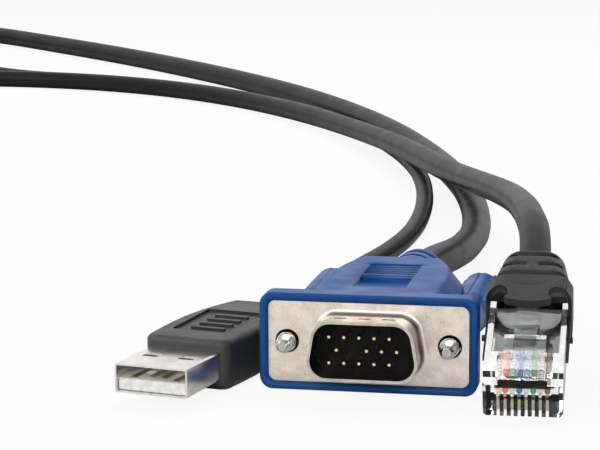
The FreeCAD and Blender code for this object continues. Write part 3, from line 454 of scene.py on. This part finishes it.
def plating():
    """Nickel over pressed steel: cloudy mottling, small specks and a soft ripple."""
    group, start, end = effect(
        "Plating",
        [("Colour", "NodeSocketColor", (0.7, 0.68, 0.64, 1)),
         ("Mottle", "NodeSocketColor", (0.5, 0.46, 0.42, 1)),
         ("Roughness", "NodeSocketFloat", 0.3), ("Speck", "NodeSocketFloat", 0.3),
         ("Ripple", "NodeSocketFloat", 0.1)],
        [("Colour", "NodeSocketColor"), ("Roughness", "NodeSocketFloat"),
         ("Normal", "NodeSocketVector")])
    link = group.links.new
    place = add(group, "ShaderNodeTexCoord")
    cloud = add(group, "ShaderNodeTexNoise", {"Scale": 420.0, "Detail": 5.0, "Roughness": 0.65})
    specks = add(group, "ShaderNodeTexNoise", {"Scale": 2600.0, "Detail": 3.0, "Roughness": 0.7})
    for texture in (cloud, specks):
        link(place.outputs["Object"], texture.inputs["Vector"])
    patches = ramp(group, cloud.outputs["Fac"], 0.38, 0.68)
    dots = ramp(group, specks.outputs["Fac"], 0.56, 0.72)
    fine = add(group, "ShaderNodeMath", operation="MULTIPLY")
    link(dots, fine.inputs[0])
    link(start.outputs["Speck"], fine.inputs[1])
    share = add(group, "ShaderNodeMath", {1: 0.55}, operation="MULTIPLY_ADD")
    link(patches, share.inputs[0])
    link(fine.outputs[0], share.inputs[2])
    blend = add(group, "ShaderNodeMix", data_type="RGBA")
    link(share.outputs[0], blend.inputs["Factor"])
    link(start.outputs["Colour"], blend.inputs[6])
    link(start.outputs["Mottle"], blend.inputs[7])
    rough = add(group, "ShaderNodeMath", {1: 0.16}, operation="MULTIPLY_ADD")
    link(share.outputs[0], rough.inputs[0])
    link(start.outputs["Roughness"], rough.inputs[2])
    bump = add(group, "ShaderNodeBump", {"Distance": 0.0002})
    link(cloud.outputs["Fac"], bump.inputs["Height"])
    link(start.outputs["Ripple"], bump.inputs["Strength"])
    link(blend.outputs[2], end.inputs["Colour"])
    link(rough.outputs[0], end.inputs["Roughness"])
    link(bump.outputs["Normal"], end.inputs["Normal"])
    return group


def edge_wear_and_highlight():
    """A mask that is 1 on outside edges, broken up as handling does; it carries both wear and a
    painted highlight on the edges.
    """
    group, start, end = effect(
        "Edge wear and painted highlight",
        [("Width", "NodeSocketFloat", 0.0004), ("Amount", "NodeSocketFloat", 0.5)],
        [("Mask", "NodeSocketFloat")])
    link = group.links.new
    soft = add(group, "ShaderNodeBevel", samples=6)
    link(start.outputs["Width"], soft.inputs["Radius"])
    plain = add(group, "ShaderNodeNewGeometry")
    dot = add(group, "ShaderNodeVectorMath", operation="DOT_PRODUCT")
    link(soft.outputs["Normal"], dot.inputs[0])
    link(plain.outputs["Normal"], dot.inputs[1])
    edge = ramp(group, dot.outputs["Value"], 0.995, 0.85)
    place = add(group, "ShaderNodeTexCoord")
    patchy = add(group, "ShaderNodeTexNoise", {"Scale": 900.0, "Detail": 4.0})
    link(place.outputs["Object"], patchy.inputs["Vector"])
    broken = ramp(group, patchy.outputs["Fac"], 0.35, 0.6)
    worn = add(group, "ShaderNodeMath", operation="MULTIPLY")
    link(edge, worn.inputs[0])
    link(broken, worn.inputs[1])
    scaled = add(group, "ShaderNodeMath", operation="MULTIPLY")
    link(worn.outputs[0], scaled.inputs[0])
    link(start.outputs["Amount"], scaled.inputs[1])
    link(scaled.outputs[0], end.inputs["Mask"])
    return group


GRAIN, PLATING, EDGE_WEAR_AND_HIGHLIGHT = moulded_grain(), plating(), edge_wear_and_highlight()


# ------------------------------------------------------------------ finishes
def finish_named(name, **plain):
    """A material with its Principled shader's plain sockets set; returns material and shader."""
    material = bpy.data.materials.new(name)
    material.use_nodes = True
    shader = material.node_tree.nodes["Principled BSDF"]
    for key, value in plain.items():
        shader.inputs[key.replace("_", " ")].default_value = value
    return material, shader


def use(tree, group, **values):
    """A shared effect as a node, with its inputs set."""
    node = tree.nodes.new("ShaderNodeGroup")
    node.node_tree = group
    for key, value in values.items():
        node.inputs[key].default_value = value
    return node


def moulded(name, colour, scale, depth, roughness, edge=None, drift=0.08, **plain):
    """A moulded plastic with grain, and a paler edge where one is given: partly wear, partly a
    painted highlight.
    """
    material, shader = finish_named(name, **plain)
    tree = material.node_tree
    link = tree.links.new
    grain = use(tree, GRAIN, Colour=(*colour, 1), Scale=scale, Depth=depth, Roughness=roughness,
                Drift=drift)
    link(grain.outputs["Roughness"], shader.inputs["Roughness"])
    link(grain.outputs["Normal"], shader.inputs["Normal"])
    if edge is None:
        link(grain.outputs["Colour"], shader.inputs["Base Color"])
        return material
    # The paler edge colour is partly wear and partly a painted highlight where rounded edges
    # would catch light
    wear_and_highlight = use(tree, EDGE_WEAR_AND_HIGHLIGHT, Width=0.0003, Amount=0.7)
    mix = add(tree, "ShaderNodeMix", {7: (*edge, 1)}, data_type="RGBA")
    link(wear_and_highlight.outputs["Mask"], mix.inputs["Factor"])
    link(grain.outputs["Colour"], mix.inputs[6])
    link(mix.outputs[2], shader.inputs["Base Color"])
    return material


def plated(name, colour, mottle, roughness, speck, ripple, bright=0.0003):
    """A plated metal whose edges are painted bright: partly polish from wear, partly a painted
    highlight.
    """
    material, shader = finish_named(name, Metallic=1.0)
    tree = material.node_tree
    link = tree.links.new
    plate = use(tree, PLATING, Colour=(*colour, 1), Mottle=(*mottle, 1), Roughness=roughness,
                Speck=speck, Ripple=ripple)
    # Edges painted near white: partly polish from wear, partly a painted highlight where rounded
    # edges would catch light
    wear_and_highlight = use(tree, EDGE_WEAR_AND_HIGHLIGHT, Width=bright, Amount=1.0)
    mix = add(tree, "ShaderNodeMix", {7: (0.95, 0.93, 0.9, 1)}, data_type="RGBA")
    link(wear_and_highlight.outputs["Mask"], mix.inputs["Factor"])
    link(plate.outputs["Colour"], mix.inputs[6])
    link(mix.outputs[2], shader.inputs["Base Color"])
    link(plate.outputs["Roughness"], shader.inputs["Roughness"])
    link(plate.outputs["Normal"], shader.inputs["Normal"])
    return material


def core_insulation(name, colour, stripe=None):
    """The skin of one core: a solid colour, or white with a stripe along it."""
    material, shader = finish_named(name, Roughness=0.3)
    tree = material.node_tree
    link = tree.links.new
    place = add(tree, "ShaderNodeTexCoord")
    second = stripe or [c * 0.8 for c in colour]
    mix = add(tree, "ShaderNodeMix", {6: (*colour, 1), 7: (*second, 1)}, data_type="RGBA")
    if stripe:
        bands = add(tree, "ShaderNodeTexWave", {"Scale": 420.0, "Distortion": 1.0},
                    bands_direction="Y")
        link(place.outputs["Object"], bands.inputs["Vector"])
        link(ramp(tree, bands.outputs["Fac"], 0.6, 0.7), mix.inputs["Factor"])
    else:
        cloud = add(tree, "ShaderNodeTexNoise", {"Scale": 700.0, "Detail": 2.0})
        link(place.outputs["Object"], cloud.inputs["Vector"])
        link(ramp(tree, cloud.outputs["Fac"], 0.4, 0.7, 0.0, 0.5), mix.inputs["Factor"])
    link(mix.outputs[2], shader.inputs["Base Color"])
    return material


def clear_plastic():
    """Clear polycarbonate. It bends light less than the real one, so the wires stay plain."""
    material, shader = finish_named(
        "Clear polycarbonate", Roughness=0.02, IOR=1.4, Transmission_Weight=1.0,
        Base_Color=(0.95, 0.96, 0.96, 1))
    tree = material.node_tree
    link = tree.links.new
    place = add(tree, "ShaderNodeTexCoord")
    flow = add(tree, "ShaderNodeTexNoise", {"Scale": 300.0, "Detail": 3.0, "Distortion": 1.5})
    link(place.outputs["Object"], flow.inputs["Vector"])
    bump = add(tree, "ShaderNodeBump", {"Strength": 0.15, "Distance": 0.0002})
    link(flow.outputs["Fac"], bump.inputs["Height"])
    link(bump.outputs["Normal"], shader.inputs["Normal"])
    return material


PLATE_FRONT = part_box("vga_front_shell")[1][1] - 0.0008


def face_plate():
    """The plate is satin and mottled; the shell drawn out of its front is polished, with painted
    shade darkening its right-hand flank and its root."""
    material, shader = finish_named("Nickel face plate", Metallic=1.0)
    tree = material.node_tree
    link = tree.links.new
    plate = use(tree, PLATING, Colour=(0.96, 0.87, 0.77, 1), Mottle=(0.6, 0.52, 0.44, 1),
                Roughness=0.34, Speck=0.6, Ripple=0.14)
    shell = use(tree, PLATING, Colour=(0.66, 0.61, 0.55, 1), Mottle=(0.3, 0.26, 0.22, 1),
                Roughness=0.1, Speck=0.2, Ripple=0.06)
    place = add(tree, "ShaderNodeTexCoord")
    depth = add(tree, "ShaderNodeSeparateXYZ")
    link(place.outputs["Object"], depth.inputs[0])
    facing = add(tree, "ShaderNodeSeparateXYZ")
    link(place.outputs["Normal"], facing.inputs[0])
    drawn = ramp(tree, depth.outputs["Y"], PLATE_FRONT - 0.0001, PLATE_FRONT - 0.0006)
    # Painted shade: the shell's right-hand flank and its root at the plate are darkened in
    # colour, in place of a dark reflection and the shade where shell meets plate
    flank = ramp(tree, facing.outputs["X"], 0.2, 0.75)
    root = ramp(tree, depth.outputs["Y"], PLATE_FRONT - 0.0014, PLATE_FRONT - 0.0003, 0.0, 0.6)
    painted_shade_mask = add(tree, "ShaderNodeMath", operation="MAXIMUM")
    link(flank, painted_shade_mask.inputs[0])
    link(root, painted_shade_mask.inputs[1])
    shade = add(tree, "ShaderNodeMix", {7: (0.13, 0.105, 0.085, 1)}, data_type="RGBA")
    link(painted_shade_mask.outputs[0], shade.inputs["Factor"])
    link(shell.outputs["Colour"], shade.inputs[6])
    # Edges painted paler: partly polish from wear, partly a painted highlight where rounded
    # edges would catch light
    wear_and_highlight = use(tree, EDGE_WEAR_AND_HIGHLIGHT, Width=0.00025, Amount=1.0)
    colour = add(tree, "ShaderNodeMix", data_type="RGBA")
    edged = add(tree, "ShaderNodeMix", {7: (0.95, 0.92, 0.87, 1)}, data_type="RGBA")
    rough = add(tree, "ShaderNodeMix")
    normal = add(tree, "ShaderNodeMix", data_type="VECTOR")
    for blend in (colour, rough, normal):
        link(drawn, blend.inputs["Factor"])
    link(plate.outputs["Colour"], colour.inputs[6])
    link(shade.outputs[2], colour.inputs[7])
    link(wear_and_highlight.outputs["Mask"], edged.inputs["Factor"])
    link(colour.outputs[2], edged.inputs[6])
    link(edged.outputs[2], shader.inputs["Base Color"])
    link(plate.outputs["Roughness"], rough.inputs[2])
    link(shell.outputs["Roughness"], rough.inputs[3])
    link(rough.outputs[0], shader.inputs["Roughness"])
    link(plate.outputs["Normal"], normal.inputs[4])
    link(shell.outputs["Normal"], normal.inputs[5])
    link(normal.outputs[1], shader.inputs["Normal"])
    return material


BORE_DARK, BORE_EDGE, BORE_LEFT = 0.0020, 0.0022, 0.08      # radii, and the share of colour left


def dark_bores(material):
    """Deepens the colour inside the two screw bores, where little light reaches."""
    tree = material.node_tree
    link = tree.links.new
    shader = tree.nodes["Principled BSDF"]
    plain = shader.inputs["Base Color"].links[0].from_socket
    place = add(tree, "ShaderNodeTexCoord")
    part = add(tree, "ShaderNodeSeparateXYZ")
    link(place.outputs["Object"], part.inputs[0])
    across = add(tree, "ShaderNodeMath", operation="ABSOLUTE")
    link(part.outputs["X"], across.inputs[0])
    spot = add(tree, "ShaderNodeCombineXYZ")
    link(across.outputs[0], spot.inputs["X"])
    link(part.outputs["Z"], spot.inputs["Z"])
    away = add(tree, "ShaderNodeVectorMath", {1: (SCREW_X, 0, AXIS_Z)}, operation="DISTANCE")
    link(spot.outputs[0], away.inputs[0])
    share = ramp(tree, away.outputs["Value"], BORE_DARK, BORE_EDGE, BORE_LEFT, 1.0)
    scale = add(tree, "ShaderNodeVectorMath", operation="SCALE")
    link(plain, scale.inputs[0])
    link(share, scale.inputs["Scale"])
    link(scale.outputs[0], shader.inputs["Base Color"])
    return material


BLUE_EDGE = (0.01, 0.1, 0.32)
finishes = {
    "nickel_plate": face_plate(),
    "usb_metal": plated("Bright nickel shell", (0.84, 0.82, 0.78), (0.66, 0.62, 0.56),
                        roughness=0.16, speck=0.25, ripple=0.05),
    "screw_steel": plated("Nickel screw", (0.62, 0.59, 0.54), (0.36, 0.33, 0.3),
                          roughness=0.14, speck=0.3, ripple=0.1),
    "gold_contact": plated("Flash plated contact", (0.88, 0.78, 0.58), (0.72, 0.6, 0.4),
                           roughness=0.13, speck=0.2, ripple=0.05, bright=0.0001),
    "blue_hood": dark_bores(moulded("Blue hood moulding", (0.0, 0.062, 0.25), scale=5200.0,
                                    depth=0.35, roughness=0.42, edge=BLUE_EDGE,
                                    Specular_IOR_Level=0.28)),
    "blue_knob": moulded("Blue knob moulding", (0.0, 0.06, 0.25), scale=5200.0, depth=0.3,
                         roughness=0.4, edge=BLUE_EDGE, Specular_IOR_Level=0.28),
    "black_insulator": moulded("Black insulator", (0.003, 0.003, 0.0035), scale=3000.0,
                               depth=0.1, roughness=0.45, Specular_IOR_Level=0.15),
    "black_moulding": moulded("Black grained moulding", (0.009, 0.009, 0.01), scale=4200.0,
                              depth=0.9, roughness=0.48, edge=(0.05, 0.05, 0.055),
                              Specular_IOR_Level=0.85),
    "grey_boot": moulded("Charcoal boot", (0.02, 0.02, 0.022), scale=3600.0, depth=1.8,
                         roughness=0.5, edge=(0.09, 0.09, 0.09), Specular_IOR_Level=0.5),
    "black_jacket": moulded("Black sheath", (0.01, 0.01, 0.011), scale=1500.0, depth=0.12,
                            roughness=0.4, drift=0.04, Specular_IOR_Level=0.15),
    "black_tie": moulded("Black tie", (0.012, 0.012, 0.013), scale=2500.0, depth=0.3,
                         roughness=0.6),
    "usb_white": moulded("White tongue", (0.86, 0.86, 0.83), scale=900.0, depth=0.05,
                         roughness=0.3),
    "clear_plug": clear_plastic(),
    "wire_white_orange": core_insulation("White and orange core", (0.85, 0.8, 0.74),
                                         (0.85, 0.25, 0.05)),
    "wire_orange": core_insulation("Orange core", (0.85, 0.2, 0.03)),
    "wire_white_green": core_insulation("White and green core", (0.8, 0.84, 0.78),
                                        (0.05, 0.4, 0.12)),
    "wire_blue": core_insulation("Blue core", (0.02, 0.12, 0.5)),
    "wire_white_blue": core_insulation("White and blue core", (0.8, 0.83, 0.86),
                                       (0.03, 0.15, 0.5)),
    "wire_green": core_insulation("Green core", (0.02, 0.3, 0.08)),
    "wire_white_brown": core_insulation("White and brown core", (0.83, 0.79, 0.74),
                                        (0.25, 0.1, 0.04)),
    "wire_brown": core_insulation("Brown core", (0.16, 0.06, 0.025)),
}


def dress(piece, slot_name):
    """Gives a piece one finish all over."""
    piece.data.materials.clear()
    piece.data.materials.append(finishes[slot_name])


slot_of = {part["node"]: part["material_slot"] for part in frame["record"]["subparts"]}
for name, node in nodes.items():
    dress(node, slot_of[name])
for piece in (video_lead, usb_lead, main_lead):
    dress(piece, "black_jacket")
for piece, body, slot_name, stood_for in made:
    dress(piece, slot_name)

# ------------------------------------------------------------------ floor and light
deselect()
bpy.ops.mesh.primitive_plane_add(size=12, location=(0, 0, -0.0002))
floor = bpy.context.object
floor.name = "floor"
ground = bpy.data.materials.new("Plain table")
ground.use_nodes = True
tree = ground.node_tree
link = tree.links.new
tree.nodes.remove(tree.nodes["Principled BSDF"])
out = tree.nodes["Material Output"]
matt = add(tree, "ShaderNodeBsdfDiffuse", {"Color": (0.8, 0.8, 0.8, 1)})
white = add(tree, "ShaderNodeEmission", {"Color": (1, 1, 1, 1), "Strength": 1.0})
WHITE_SHARE = 0.9                           # how much of the table is plain white to the camera
ray = add(tree, "ShaderNodeLightPath")
seen = add(tree, "ShaderNodeMath", operation="MAXIMUM")
link(ray.outputs["Is Camera Ray"], seen.inputs[0])
link(ray.outputs["Is Transmission Ray"], seen.inputs[1])
share = add(tree, "ShaderNodeMath", {1: WHITE_SHARE}, operation="MULTIPLY")
link(seen.outputs[0], share.inputs[0])
blend = add(tree, "ShaderNodeMixShader")
link(share.outputs[0], blend.inputs["Fac"])
link(matt.outputs[0], blend.inputs[1])
link(white.outputs[0], blend.inputs[2])
link(blend.outputs[0], out.inputs["Surface"])
floor.data.materials.append(ground)

# What the room gives to matt surfaces, and what glossy ones mirror in front, behind, above;
# the last is how much of that is left towards the right-hand side
ROOM_LIGHT, FRONT_GLOSS, BACK_GLOSS, TOP_GLOSS, SIDE_GLOSS = 0.3, 0.6, 1.0, 0.9, 0.15
world = bpy.data.worlds.new("Studio")
bpy.context.scene.world = world
world.use_nodes = True
sky = world.node_tree
link = sky.links.new
room = sky.nodes["Background"]
room.inputs["Color"].default_value = (1, 1, 1, 1)
room.inputs["Strength"].default_value = ROOM_LIGHT
bright = add(sky, "ShaderNodeBackground", {"Color": (1, 1, 1, 1), "Strength": 1.0})
mirror = add(sky, "ShaderNodeBackground", {"Color": (1, 1, 1, 1)})
path = add(sky, "ShaderNodeLightPath")
way = add(sky, "ShaderNodeTexCoord")
part = add(sky, "ShaderNodeSeparateXYZ")
link(way.outputs["Generated"], part.inputs[0])
behind = ramp(sky, part.outputs["Y"], -0.35, 0.35, FRONT_GLOSS, BACK_GLOSS)
above = ramp(sky, part.outputs["Z"], 0.25, 0.6, 0.0, TOP_GLOSS)
level = add(sky, "ShaderNodeMath", operation="MAXIMUM")
link(behind, level.inputs[0])
link(above, level.inputs[1])
beside = ramp(sky, part.outputs["X"], 0.35, 0.8, 1.0, SIDE_GLOSS)
shaded = add(sky, "ShaderNodeMath", operation="MULTIPLY")
link(level.outputs[0], shaded.inputs[0])
link(beside, shaded.inputs[1])
link(shaded.outputs[0], mirror.inputs["Strength"])
reflected = add(sky, "ShaderNodeMixShader")
link(path.outputs["Is Glossy Ray"], reflected.inputs["Fac"])
link(room.outputs[0], reflected.inputs[1])
link(mirror.outputs[0], reflected.inputs[2])
straight = add(sky, "ShaderNodeMath", operation="MAXIMUM")
link(path.outputs["Is Camera Ray"], straight.inputs[0])
link(path.outputs["Is Transmission Ray"], straight.inputs[1])
choose = add(sky, "ShaderNodeMixShader")
link(straight.outputs[0], choose.inputs["Fac"])
link(reflected.outputs[0], choose.inputs[1])
link(bright.outputs[0], choose.inputs[2])
link(choose.outputs[0], sky.nodes["World Output"].inputs["Surface"])


def softbox(name, place, size, watts, mirrored=True):
    """A rectangular lamp that looks at the plugs; one not mirrored lights only matt surfaces."""
    bpy.ops.object.light_add(type="AREA", location=place)
    lamp = bpy.context.object
    lamp.name = name
    lamp.data.shape = "RECTANGLE"
    lamp.data.size, lamp.data.size_y = size
    lamp.data.energy = watts
    lamp.visible_glossy = mirrored
    lamp.rotation_euler = (-Vector(place)).to_track_quat("-Z", "Y").to_euler()


softbox("top_back_box", (0.0, 0.35, 0.55), (0.7, 0.4), 3.0, mirrored=False)
softbox("left_box", (-0.5, -0.25, 0.35), (0.35, 0.35), 1.2)
softbox("front_box", (0.1, -0.7, 0.35), (0.5, 0.3), 2.0)
bpy.context.scene.view_settings.view_transform = "Standard"
